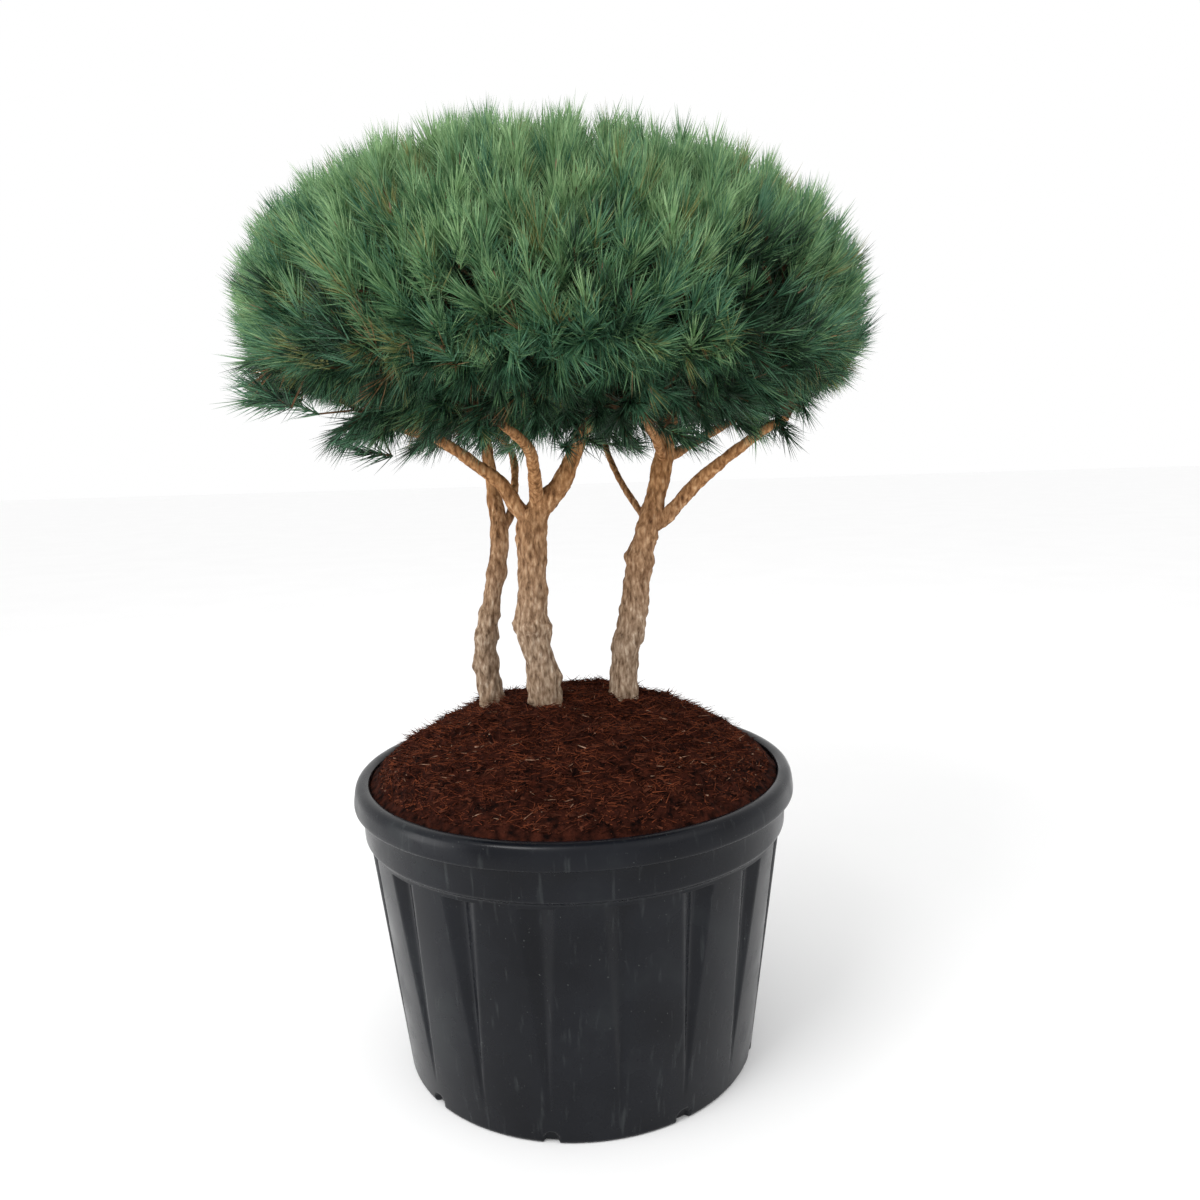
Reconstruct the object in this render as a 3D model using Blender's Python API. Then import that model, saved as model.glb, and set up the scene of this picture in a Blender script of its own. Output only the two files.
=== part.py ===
"""A scots pine with three stems and one clipped dome of needles, in a round fluted nursery pot.

Metres, +Z up. The origin is the centre of the pot's flat underside, and the plant is seen from -Y.
Every limb is a tapered tube swept along a few waypoints. The foliage is one clipped dome, cut into
upright cells by planes half way between its masses: each mass has a stem that goes on from its limb,
twigs that branch from the stem by a seeded rule, a core, and tufts of needles on the dome's surface.
"""
import math
import random

import bmesh
import bpy
import numpy as np
from mathutils import Matrix, Vector

CLEAR = 0.0003  # gap between pieces that rest on each other
SEED = 41

# Pot
POT_SIDES = 36
FACING = math.radians(-88.0)  # direction in which the photographed side of the pot points
BASE_RADIUS = 0.309
WALL_TOP_RADIUS = 0.3655
WALL_TOP = 0.405
COLLAR_RADIUS = 0.3735
COLLAR_BOTTOM = 0.413
RIM_BOTTOM = 0.463
RIM_RADIUS = 0.3905
RIM_TOP = 0.503
MOUTH_RADIUS = 0.3625
POT_FLOOR = 0.012
INNER_BASE_RADIUS = 0.296
INNER_TOP_RADIUS = 0.348
INNER_TOP = 0.430
SHELF = 0.470  # where the inner wall reaches the mouth's width

FLUTE_COUNT = 18
FLUTE_TOP = 0.398
FLUTE_POINT = 0.045
FLUTE_DEPTH = 0.011
FLUTE_HALF_WIDTH = 0.029
FLUTE_FLOOR_HALF_WIDTH = 0.016
NOTCH_COUNT = 9
NOTCH_WIDTH = 0.025
NOTCH_HEIGHT = 0.020
NOTCH_DEPTH = 0.0075

# Soil
SOIL_GAP = 0.0004  # measured across the facets, so that the wall keeps its 0.3 mm
SOIL_EDGE = 0.496
SOIL_PEAK = 0.625
MOUND_POWER = 2.3
MOUND_RINGS = (0.335, 0.27, 0.20, 0.12, 0.05)
MOUND_BUMP = 0.004
FOOT_DEPTH = 0.012  # how deep a trunk's flat cut stands in the soil

# Limbs: waypoints (x, y, z, radius) from the foot or fork to the tip, and knots (height, extra radius)
TRUNK_SIDES = 10
BOUGH_SIDES = 7
RING_SPACING = 0.03
FLARE = 0.005
FLARE_HEIGHT = 0.025
KNOT_HEIGHT = 0.013

TRUNKS = {
    "trunk_left": dict(
        path=((-0.152, 0.070, 0.593, 0.0205), (-0.162, 0.070, 0.700, 0.0205), (-0.147, 0.072, 0.790, 0.0165),
              (-0.131, 0.075, 0.880, 0.0165), (-0.129, 0.080, 0.925, 0.0165), (-0.135, 0.090, 0.970, 0.0140),
              (-0.144, 0.095, 1.034, 0.0120), (-0.155, 0.085, 1.140, 0.0095)),
        knots=((0.672, 0.003), (0.724, 0.004), (0.768, 0.0035), (0.842, 0.003)),
    ),
    "trunk_middle": dict(
        path=((-0.046, -0.030, 0.6115, 0.0270), (-0.053, -0.030, 0.690, 0.0265), (-0.065, -0.030, 0.755, 0.0270),
              (-0.062, -0.030, 0.850, 0.0250), (-0.059, -0.030, 0.940, 0.0265), (-0.038, -0.034, 0.974, 0.0195),
              (-0.010, -0.039, 1.006, 0.0165), (0.018, -0.040, 1.060, 0.0135), (0.055, -0.040, 1.140, 0.0105)),
        knots=((0.668, 0.003), (0.758, 0.007)),
    ),
    "trunk_right": dict(
        path=((0.092, 0.000, 0.608, 0.0260), (0.097, 0.000, 0.690, 0.0245), (0.113, 0.000, 0.763, 0.0245),
              (0.124, 0.000, 0.835, 0.0220), (0.133, 0.000, 0.890, 0.0210), (0.147, 0.000, 0.932, 0.0220),
              (0.162, 0.005, 0.985, 0.0180), (0.177, 0.010, 1.045, 0.0170), (0.197, 0.015, 1.140, 0.0105)),
        knots=((0.727, 0.002), (0.872, 0.004)),
    ),
}

BOUGHS = {
    "bough_right_low": dict(
        path=((0.146, 0.000, 0.925, 0.0140), (0.174, -0.005, 0.941, 0.0134), (0.239, -0.025, 1.010, 0.0118),
              (0.293, -0.050, 1.055, 0.0095), (0.348, -0.075, 1.095, 0.0075), (0.380, -0.095, 1.113, 0.0064)),
        cut_by=("trunk_right",),
    ),
    "bough_right_back": dict(
        path=((0.179, 0.011, 1.046, 0.0095), (0.228, 0.050, 1.071, 0.0090), (0.273, 0.090, 1.094, 0.0083),
              (0.325, 0.160, 1.118, 0.0068)),
        cut_by=("trunk_right",),
    ),
    "bough_right_front": dict(
        path=((0.177, 0.010, 1.045, 0.0088), (0.160, -0.060, 1.083, 0.0078), (0.145, -0.125, 1.103, 0.0070),
              (0.130, -0.215, 1.120, 0.0060)),
        cut_by=("trunk_right",),
    ),
    "bough_right_thin": dict(
        path=((0.147, 0.000, 0.930, 0.0064), (0.107, 0.060, 0.995, 0.0060), (0.085, 0.115, 1.042, 0.0056),
              (0.072, 0.180, 1.084, 0.0054), (0.068, 0.255, 1.115, 0.0050)),
        cut_by=("trunk_right",),
    ),
    "bough_middle_left": dict(
        path=((-0.060, -0.030, 0.943, 0.0150), (-0.084, -0.037, 0.970, 0.0140), (-0.110, -0.050, 1.013, 0.0128),
              (-0.152, -0.070, 1.049, 0.0107), (-0.199, -0.090, 1.086, 0.0090), (-0.245, -0.110, 1.109, 0.0074),
              (-0.291, -0.130, 1.121, 0.0056)),
        cut_by=("trunk_middle",),
    ),
    "bough_middle_front": dict(
        path=((-0.056, -0.031, 0.948, 0.0125), (-0.050, -0.055, 0.998, 0.0118), (-0.050, -0.140, 1.060, 0.0099),
              (-0.062, -0.190, 1.086, 0.0082), (-0.085, -0.240, 1.108, 0.0066)),
        cut_by=("trunk_middle", "bough_middle_left"),
    ),
    "bough_left_outer": dict(
        path=((-0.142, 0.094, 1.022, 0.0085), (-0.200, 0.100, 1.066, 0.0080), (-0.268, 0.114, 1.100, 0.0070),
              (-0.330, 0.124, 1.122, 0.0058)),
        cut_by=("trunk_left",),
    ),
    "bough_left_back": dict(
        path=((-0.128, 0.078, 0.912, 0.0088), (-0.107, 0.100, 0.959, 0.0080), (-0.104, 0.170, 1.033, 0.0073),
              (-0.118, 0.222, 1.076, 0.0068), (-0.146, 0.275, 1.104, 0.0060)),
        cut_by=("trunk_left",),
    ),
}

# Foliage: each mass, the limb that carries it and where its middle lies in plan
MASSES = {
    "foliage_top_left": ("trunk_left", (-0.170, 0.040)),
    "foliage_top_middle": ("trunk_middle", (0.030, -0.060)),
    "foliage_top_right": ("trunk_right", (0.210, 0.060)),
    "foliage_right": ("bough_right_low", (0.410, -0.170)),
    "foliage_right_back": ("bough_right_back", (0.340, 0.250)),
    "foliage_right_front": ("bough_right_front", (0.130, -0.380)),
    "foliage_back": ("bough_right_thin", (0.070, 0.410)),
    "foliage_left_front": ("bough_middle_left", (-0.380, -0.170)),
    "foliage_front": ("bough_middle_front", (-0.150, -0.370)),
    "foliage_left": ("bough_left_outer", (-0.410, 0.120)),
    "foliage_left_back": ("bough_left_back", (-0.230, 0.350)),
}
CELL_GAP = 0.004  # half the space kept between two masses
POCKET_GAP = 0.022  # the same beside the right-hand lobe, where the photo shows a dark pocket
POCKET_CELLS = ("foliage_right", "foliage_right_front")

# Dome in which the needle tips end: half sizes, and powers that make it squarer than an ellipsoid
DOME_CENTRE = 1.296
DOME_RADIUS = 0.558
DOME_RISE = 0.322
DOME_DROP = 0.2465
DOME_POWER = 2.6
DOME_UP_POWER = 2.25
DOME_DOWN_POWER = 2.4
DOME_TILT = -0.038  # the dome's top falls a little to the right
UNDERSIDE = 1.100

CORE_INSET = 0.078
CORE_FLOOR = 1.168
CORE_MIDDLE = 1.330
CORE_SEGMENTS = 10
CORE_RINGS = 6

TUFT_SPACING = 0.094
TUFT_NEEDLES = 5
TUFT_ROOT = 0.055
TUFT_COLLAR = 0.011
NEEDLE_LENGTH = 0.080
NEEDLE_SPREAD = 0.36
BRANCHES = 5
TWIG_RADIUS = 0.0045
LIMB_MARGIN = 0.004


def clear_scene():
    for thing in list(bpy.data.objects):
        bpy.data.objects.remove(thing, do_unlink=True)


def principled(name, colour, roughness):
    made = bpy.data.materials.new(name)
    made.use_nodes = True
    shader = made.node_tree.nodes["Principled BSDF"]
    shader.inputs["Base Color"].default_value = (*colour, 1.0)
    shader.inputs["Roughness"].default_value = roughness
    shader.inputs["Metallic"].default_value = 0.0
    return made


def add_object(name, bm, finish=None, sharp_angle=None):
    bmesh.ops.recalc_face_normals(bm, faces=bm.faces)
    mesh = bpy.data.meshes.new(name)
    bm.to_mesh(mesh)
    bm.free()
    if sharp_angle:
        mesh.shade_smooth()
        mesh.set_sharp_from_angle(angle=math.radians(sharp_angle))
    made = bpy.data.objects.new(name, mesh)
    bpy.context.scene.collection.objects.link(made)
    if finish:
        mesh.materials.append(finish)
    return made


def as_cutter(piece):
    piece.hide_render = True
    piece.display_type = "WIRE"
    return piece


def cut(piece, cutters):
    """Takes each cutter out of the piece, then removes the cutters."""
    for cutter in cutters:
        step = piece.modifiers.new("cut", "BOOLEAN")
        step.operation = "DIFFERENCE"
        step.solver = "EXACT"
        step.object = as_cutter(cutter)
    settle(piece)
    for cutter in cutters:
        bpy.data.objects.remove(cutter, do_unlink=True)


def settle(piece):
    """Applies the modifiers of a piece to its mesh."""
    depsgraph = bpy.context.evaluated_depsgraph_get()
    mesh = bpy.data.meshes.new_from_object(piece.evaluated_get(depsgraph))
    piece.modifiers.clear()
    piece.data = mesh


def turn(profile, sides):
    """A closed solid of revolution from a profile of (radius, height) that starts and ends on the axis."""
    bm = bmesh.new()
    ring = [bm.verts.new((radius, 0.0, height)) for radius, height in profile]
    edges = [bm.edges.new(pair) for pair in zip(ring, ring[1:])]
    bmesh.ops.rotate(bm, verts=ring, cent=(0, 0, 0), matrix=Matrix.Rotation(FACING + math.pi / sides, 3, "Z"))
    bmesh.ops.spin(bm, geom=ring + edges, cent=(0, 0, 0), axis=(0, 0, 1), angle=math.tau, steps=sides)
    bmesh.ops.remove_doubles(bm, verts=bm.verts, dist=1e-5)
    return bm


def wall_radius(height):
    return BASE_RADIUS + (WALL_TOP_RADIUS - BASE_RADIUS) * height / WALL_TOP


def radial_hull(name, angle, points):
    """A convex cutter from points given as (outward, sideways, up) in the direction of the angle."""
    bm = bmesh.new()
    spin = Matrix.Rotation(angle, 4, "Z")
    for point in points:
        bm.verts.new(spin @ Vector(point))
    bmesh.ops.convex_hull(bm, input=bm.verts)
    return add_object(name, bm)


def flute_cutter(angle):
    """A wedge that is deep under its flat top edge and runs out to a point near the foot of the wall."""
    top = wall_radius(FLUTE_TOP) * math.cos(math.pi / POT_SIDES)
    floor = top - FLUTE_DEPTH
    outside = 0.01
    widen = (FLUTE_HALF_WIDTH - FLUTE_FLOOR_HALF_WIDTH) / FLUTE_DEPTH
    outer_half = FLUTE_HALF_WIDTH + widen * outside
    point = wall_radius(FLUTE_POINT)
    points = [(point, 0.0, FLUTE_POINT), (point + outside, 0.0, FLUTE_POINT)]
    for side in (-1, 1):
        points.append((floor, side * FLUTE_FLOOR_HALF_WIDTH, FLUTE_TOP))
        points.append((top + outside, side * outer_half, FLUTE_TOP))
    return radial_hull("flute_cutter", angle, points)


def notch_cutter(angle):
    """An arch at the foot of the wall, deep enough to read as a drain hole."""
    half = NOTCH_WIDTH / 2
    straight = NOTCH_HEIGHT - half
    inner = BASE_RADIUS - NOTCH_DEPTH
    arch = [(-half, -0.01), (half, -0.01)]
    for step in range(7):
        around = math.pi * step / 6
        arch.append((half * math.cos(around), straight + half * math.sin(around)))
    points = [(radius, side, up) for radius in (inner, BASE_RADIUS + 0.02) for side, up in arch]
    return radial_hull("notch_cutter", angle, points)


def make_pot(finish):
    outer = [
        (0.0, 0.0), (BASE_RADIUS - 0.005, 0.0), (wall_radius(0.005), 0.005), (WALL_TOP_RADIUS, WALL_TOP),
        (COLLAR_RADIUS, COLLAR_BOTTOM), (COLLAR_RADIUS + 0.003, RIM_BOTTOM - 0.003), (RIM_RADIUS - 0.005, RIM_BOTTOM),
        (RIM_RADIUS, RIM_BOTTOM + 0.006), (RIM_RADIUS - 0.002, RIM_TOP - 0.014), (RIM_RADIUS - 0.009, RIM_TOP - 0.002),
        (RIM_RADIUS - 0.016, RIM_TOP),
    ]
    inner = [
        (MOUTH_RADIUS + 0.003, RIM_TOP - 0.001), (MOUTH_RADIUS, RIM_TOP - 0.006), (MOUTH_RADIUS, SHELF),
        (INNER_TOP_RADIUS, INNER_TOP), (INNER_BASE_RADIUS, POT_FLOOR), (0.0, POT_FLOOR),
    ]
    pot = add_object("pot", turn(outer + inner, POT_SIDES), finish, sharp_angle=28)
    spacing = math.tau / FLUTE_COUNT
    angles = [FACING + (count + 0.5) * spacing for count in range(FLUTE_COUNT)]
    cutters = [flute_cutter(angle) for angle in angles]
    every = FLUTE_COUNT // NOTCH_COUNT
    cutters += [notch_cutter(angle) for angle in angles[1::every]]
    cut(pot, cutters)
    return pot


def mound_height(distance):
    return SOIL_EDGE + (SOIL_PEAK - SOIL_EDGE) * (1.0 - (distance / MOUTH_RADIUS) ** MOUND_POWER)


def make_soil(finish, feet):
    """The pot's filling, with a low mound that has a shallow seat for each trunk."""
    rng = random.Random(SEED)
    low = POT_FLOOR + CLEAR
    profile = [
        (0.0, low), (INNER_BASE_RADIUS - SOIL_GAP, low), (INNER_TOP_RADIUS - SOIL_GAP, INNER_TOP),
        (MOUTH_RADIUS - SOIL_GAP, SHELF), (MOUTH_RADIUS - SOIL_GAP, SOIL_EDGE),
    ]
    profile += [(distance, mound_height(distance)) for distance in MOUND_RINGS]
    profile.append((0.0, SOIL_PEAK))
    bm = turn(profile, POT_SIDES)
    for vert in bm.verts:
        distance = math.hypot(vert.co.x, vert.co.y)
        if vert.co.z > SOIL_EDGE and MOUND_RINGS[-2] < distance < MOUND_RINGS[0] + 0.001:
            vert.co.z += rng.uniform(-MOUND_BUMP, MOUND_BUMP)
    soil = add_object("soil", bm, finish, sharp_angle=40)
    cut(soil, feet)
    return soil


def smooth_path(waypoints):
    """Points and radii along a Catmull-Rom curve through the waypoints, about one ring spacing apart."""
    way = np.array(waypoints)
    padded = np.vstack([2 * way[0] - way[1], way, 2 * way[-1] - way[-2]])
    out = []
    for index in range(len(way) - 1):
        a, b, c, d = padded[index:index + 4]
        steps = max(1, round(np.linalg.norm(c[:3] - b[:3]) / RING_SPACING))
        for step in range(steps):
            t = step / steps
            out.append(0.5 * (2 * b + (c - a) * t + (2 * a - 5 * b + 4 * c - d) * t ** 2
                              + (3 * b - a - 3 * c + d) * t ** 3))
    out.append(way[-1])
    out = np.array(out)
    return out[:, :3], out[:, 3]


def tangents(points):
    inner = points[2:] - points[:-2]
    along = np.vstack([points[1] - points[0], inner, points[-1] - points[-2]])
    return along / np.linalg.norm(along, axis=1)[:, None]


def sweep(points, radii, sides, upright_foot=False):
    """A closed tube round a line of points, with flat ends. An upright foot is cut level."""
    along = tangents(points)
    if upright_foot:
        along[0] = (0.0, 0.0, 1.0)
    side = Vector(along[0]).orthogonal().normalized()
    bm = bmesh.new()
    rings = []
    for point, radius, axis in zip(points, radii, along):
        axis = Vector(axis)
        side = (side - axis * side.dot(axis)).normalized()
        other = axis.cross(side)
        ring = []
        for count in range(sides):
            around = math.tau * count / sides
            offset = side * math.cos(around) + other * math.sin(around)
            ring.append(bm.verts.new(Vector(point) + offset * radius))
        rings.append(ring)
    for low, high in zip(rings, rings[1:]):
        for count in range(sides):
            after = (count + 1) % sides
            bm.faces.new((low[count], low[after], high[after], high[count]))
    bm.faces.new(rings[0])
    bm.faces.new(rings[-1])
    return bm


def limb_form(spec, grow=0.0, sides=BOUGH_SIDES, knots=(), upright_foot=False):
    """The tube of a trunk or bough; grown, it is the space that its neighbours keep clear of."""
    points, radii = smooth_path(spec["path"])
    if upright_foot:
        rise = points[:, 2] - points[0, 2]
        radii = radii + FLARE * np.exp(-rise / FLARE_HEIGHT)
    for height, extra in knots:
        radii = radii + extra * np.exp(-((points[:, 2] - height) / KNOT_HEIGHT) ** 2)
    if grow:
        along = tangents(points)
        radii = radii + grow / math.cos(math.pi / sides)
        points = points.copy()
        points[-1] += along[-1] * grow
        if upright_foot:
            points[0, 2] -= grow
        else:
            points[0] -= along[0] * grow
    return sweep(points, radii, sides, upright_foot)


def trunk_form(name, grow=0.0):
    spec = TRUNKS[name]
    return limb_form(spec, grow, TRUNK_SIDES, spec["knots"], upright_foot=True)


def limb_spec(name):
    return TRUNKS[name] if name in TRUNKS else BOUGHS[name]


def grown_copy(name):
    form = trunk_form(name, CLEAR) if name in TRUNKS else limb_form(BOUGHS[name], CLEAR)
    return add_object(name + "_space", form)


def make_limbs(finish):
    for name in TRUNKS:
        add_object(name, trunk_form(name), finish, sharp_angle=40)
    for name, spec in BOUGHS.items():
        bough = add_object(name, limb_form(spec), finish, sharp_angle=40)
        cut(bough, [grown_copy(parent) for parent in spec["cut_by"]])


def dome_value(points, inset=0.0):
    """Below 1 inside the dome of needle tips, drawn in by the inset."""
    x, y, z = np.asarray(points, dtype=float).T
    rise = z - DOME_CENTRE - DOME_TILT * x
    across = np.hypot(x, y) / (DOME_RADIUS - inset)
    above = np.clip(rise, 0.0, None) / (DOME_RISE - inset)
    below = np.clip(-rise, 0.0, None) / (DOME_DROP - inset)
    return across ** DOME_POWER + above ** DOME_UP_POWER + below ** DOME_DOWN_POWER


def reach(origin, directions, inset, floor):
    """Distance from the origin to the dome or the floor plane along each direction, by halving."""
    near = np.zeros(len(directions))
    far = np.full(len(directions), 1.5)
    for _ in range(36):
        middle = (near + far) / 2
        points = origin + directions * middle[:, None]
        inside = (dome_value(points, inset) < 1.0) & (points[:, 2] > floor)
        near = np.where(inside, middle, near)
        far = np.where(inside, far, middle)
    return near


def spread_directions(count):
    """Directions spread evenly over a sphere along a golden spiral."""
    index = np.arange(count) + 0.5
    up = 1.0 - 2.0 * index / count
    around = math.pi * (1.0 + math.sqrt(5.0)) * index
    flat = np.sqrt(1.0 - up ** 2)
    return np.stack([flat * np.cos(around), flat * np.sin(around), up], axis=1)


def dome_normal(point):
    step = 1e-4
    around = [point + offset for offset in np.vstack([np.eye(3), -np.eye(3)]) * step]
    values = dome_value(around)
    normal = values[:3] - values[3:]
    return normal / np.linalg.norm(normal)


def cell_planes(name):
    """Upright planes (point, normal) that bound a mass, each half way to another one."""
    middle = np.array([*MASSES[name][1], 0.0])
    planes = []
    for other in MASSES:
        if other == name:
            continue
        away = np.array([*MASSES[other][1], 0.0]) - middle
        gap = CELL_GAP
        if name in POCKET_CELLS and other in POCKET_CELLS:
            gap = POCKET_GAP
        normal = away / np.linalg.norm(away)
        planes.append((middle + away / 2 - normal * gap, normal))
    return planes


def pull_inside(point, planes, margin):
    """Moves a point back along each plane's normal that it has crossed."""
    for start, normal in planes * 2:
        past = (point - start) @ normal + margin
        if past > 0:
            point = point - normal * past
    return point


def nearest_mass(point):
    names = list(MASSES)
    gaps = [math.dist(point[:2], MASSES[name][1]) for name in names]
    return names[gaps.index(min(gaps))]


def tuft_places():
    """Evenly spaced points on the dome and its underside, dealt out to the masses."""
    centre = np.array([0.0, 0.0, DOME_CENTRE])
    directions = spread_directions(6000)
    points = centre + directions * reach(centre, directions, 0.0, UNDERSIDE)[:, None]
    order = list(range(len(points)))
    random.Random(SEED).shuffle(order)
    chosen = []
    for index in order:
        point = points[index]
        if all(np.sum((point - other) ** 2) > TUFT_SPACING ** 2 for other in chosen):
            chosen.append(point)
    places = {name: [] for name in MASSES}
    for point in chosen:
        places[nearest_mass(point)].append(point)
    return places


def tuft_direction(point, rng):
    """Upright on top, outward and up on the side, outward and a little down under the rim."""
    outward = np.array([point[0], point[1], 0.0]) / max(np.hypot(point[0], point[1]), 0.05)
    if point[2] < UNDERSIDE + 0.01:
        way = 0.9 * outward + np.array([0.0, 0.0, -0.55])
    else:
        normal = dome_normal(point)
        lift = 0.55 * min(1.0, max(0.0, (point[2] - 1.16) / 0.10))
        way = normal + np.array([0.0, 0.0, lift])
    way = way + np.array([rng.uniform(-0.14, 0.14) for _ in range(3)])
    return way / np.linalg.norm(way)


def limb_lines():
    """Centre lines and radii of all limbs, to keep twigs and needles clear of them."""
    lines = []
    for name in list(TRUNKS) + list(BOUGHS):
        points, radii = smooth_path(limb_spec(name)["path"])
        lines.append((points, radii + max([extra for _, extra in TRUNKS.get(name, {}).get("knots", ())] or [0.0])))
    return lines


def touches_limb(start, end, thickness, lines):
    for share in np.linspace(0.0, 1.0, 9):
        point = start + (end - start) * share
        for points, radii in lines:
            a, b = points[:-1], points[1:]
            along = b - a
            t = np.clip(((point - a) * along).sum(1) / (along ** 2).sum(1), 0.0, 1.0)
            gap = np.linalg.norm(point - a - along * t[:, None], axis=1)
            if (gap < radii[:-1] + thickness + LIMB_MARGIN).any():
                return True
    return False


def tuft_form(tip, way, planes, rng):
    """A slim core sunk in its root, with needles drawn out of its upper faces."""
    collar = tip - way * NEEDLE_LENGTH
    side = np.array(Vector(way).orthogonal().normalized())
    other = np.cross(way, side)
    turned = rng.uniform(0.0, math.tau)
    ring = []
    for count in range(TUFT_NEEDLES):
        around = turned + math.tau * count / TUFT_NEEDLES
        ring.append(collar + TUFT_COLLAR * (side * math.cos(around) + other * math.sin(around)))
    root = collar - way * TUFT_ROOT
    crest = collar + way * 0.006
    tips = []
    for count in range(TUFT_NEEDLES):
        around = turned + math.tau * (count + 0.5) / TUFT_NEEDLES
        spread = NEEDLE_SPREAD * rng.uniform(0.6, 1.35)
        lean = side * math.cos(around) + other * math.sin(around)
        length = NEEDLE_LENGTH * rng.uniform(0.86, 1.0)
        tips.append(pull_inside(collar + (way * math.cos(spread) + lean * math.sin(spread)) * length, planes, 0.0005))
    return root, ring, crest, tips


def tuft_mesh(root, ring, crest, tips):
    bm = bmesh.new()
    low = bm.verts.new(root)
    top = bm.verts.new(crest)
    collar = [bm.verts.new(point) for point in ring]
    for count, tip in enumerate(tips):
        here, after = collar[count], collar[(count + 1) % len(collar)]
        point = bm.verts.new(tip)
        bm.faces.new((low, after, here))
        bm.faces.new((here, after, point))
        bm.faces.new((after, top, point))
        bm.faces.new((top, here, point))
    return bm


def core_mesh(centre, planes):
    """A faceted body round the centre: it fills the cell up to the tufts' roots."""
    rows = []
    for ring in range(1, CORE_RINGS):
        polar = math.pi * ring / CORE_RINGS
        for count in range(CORE_SEGMENTS):
            around = math.tau * (count + 0.5 * (ring % 2)) / CORE_SEGMENTS
            rows.append((math.sin(polar) * math.cos(around), math.sin(polar) * math.sin(around), math.cos(polar)))
    directions = np.array([(0.0, 0.0, 1.0), *rows, (0.0, 0.0, -1.0)])
    distance = reach(centre, directions, CORE_INSET, CORE_FLOOR)
    for start, normal in planes:
        slope = directions @ normal
        room = (start - centre) @ normal
        limit = room / np.where(slope > 1e-6, slope, 1e-6)
        distance = np.minimum(distance, np.where(slope > 1e-6, limit, 9.0))
    points = centre + directions * distance[:, None]
    bm = bmesh.new()
    verts = [bm.verts.new(point) for point in points]
    top, low = verts[0], verts[-1]
    rings = [verts[1 + index * CORE_SEGMENTS:1 + (index + 1) * CORE_SEGMENTS] for index in range(CORE_RINGS - 1)]
    for index in range(CORE_SEGMENTS):
        after = (index + 1) % CORE_SEGMENTS
        bm.faces.new((top, rings[0][index], rings[0][after]))
        bm.faces.new((low, rings[-1][after], rings[-1][index]))
        for count, (upper, lower) in enumerate(zip(rings, rings[1:])):
            if count % 2:
                bm.faces.new((upper[index], lower[index], lower[after]))
                bm.faces.new((upper[index], lower[after], upper[after]))
            else:
                bm.faces.new((upper[index], lower[index], upper[after]))
                bm.faces.new((upper[after], lower[index], lower[after]))
    return bm


def stem_line(limb, centre):
    """The stem's line: it goes on from the limb's tip in the same direction, then bends to the middle."""
    points, radii = smooth_path(limb_spec(limb)["path"])
    way = points[-1] - points[-2]
    way = way / np.linalg.norm(way)
    start = points[-1] + way * CLEAR
    thick = radii[-1]
    bend = start + way * 0.03
    return np.array([start, start + way * 0.012, bend, (bend + centre) / 2, centre]), \
        thick * np.array([1.0, 0.97, 0.92, 0.7, 0.5])


def twig_object(start, end, thick):
    points = np.array([start, (start + end) / 2, end])
    return add_object("twig", sweep(points, thick * np.array([1.0, 0.85, 0.6]), 3))


def largest_body(bm):
    """Keeps the largest connected body, which drops scraps and fills a sealed hollow."""
    left = set(bm.verts)
    bodies = []
    while left:
        body = set()
        queue = [left.pop()]
        while queue:
            vert = queue.pop()
            body.add(vert)
            for edge in vert.link_edges:
                other = edge.other_vert(vert)
                if other in left:
                    left.remove(other)
                    queue.append(other)
        bodies.append(body)
    bodies.sort(key=len)
    for body in bodies[:-1]:
        bmesh.ops.delete(bm, geom=list(body), context="VERTS")


def fuse(name, pieces, finish):
    """Joins the pieces into one closed body by a single union, and removes them."""
    group = bpy.data.collections.new(name + "_parts")
    bpy.context.scene.collection.children.link(group)
    first, rest = pieces[0], pieces[1:]
    for piece in rest:
        group.objects.link(piece)
    join = first.modifiers.new("join", "BOOLEAN")
    join.operation = "UNION"
    join.operand_type = "COLLECTION"
    join.collection = group
    join.solver = "EXACT"
    settle(first)
    for piece in rest:
        bpy.data.objects.remove(piece, do_unlink=True)
    bpy.data.collections.remove(group)
    bm = bmesh.new()
    bm.from_mesh(first.data)
    bpy.data.objects.remove(first, do_unlink=True)
    largest_body(bm)
    return add_object(name, bm, finish)


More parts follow.
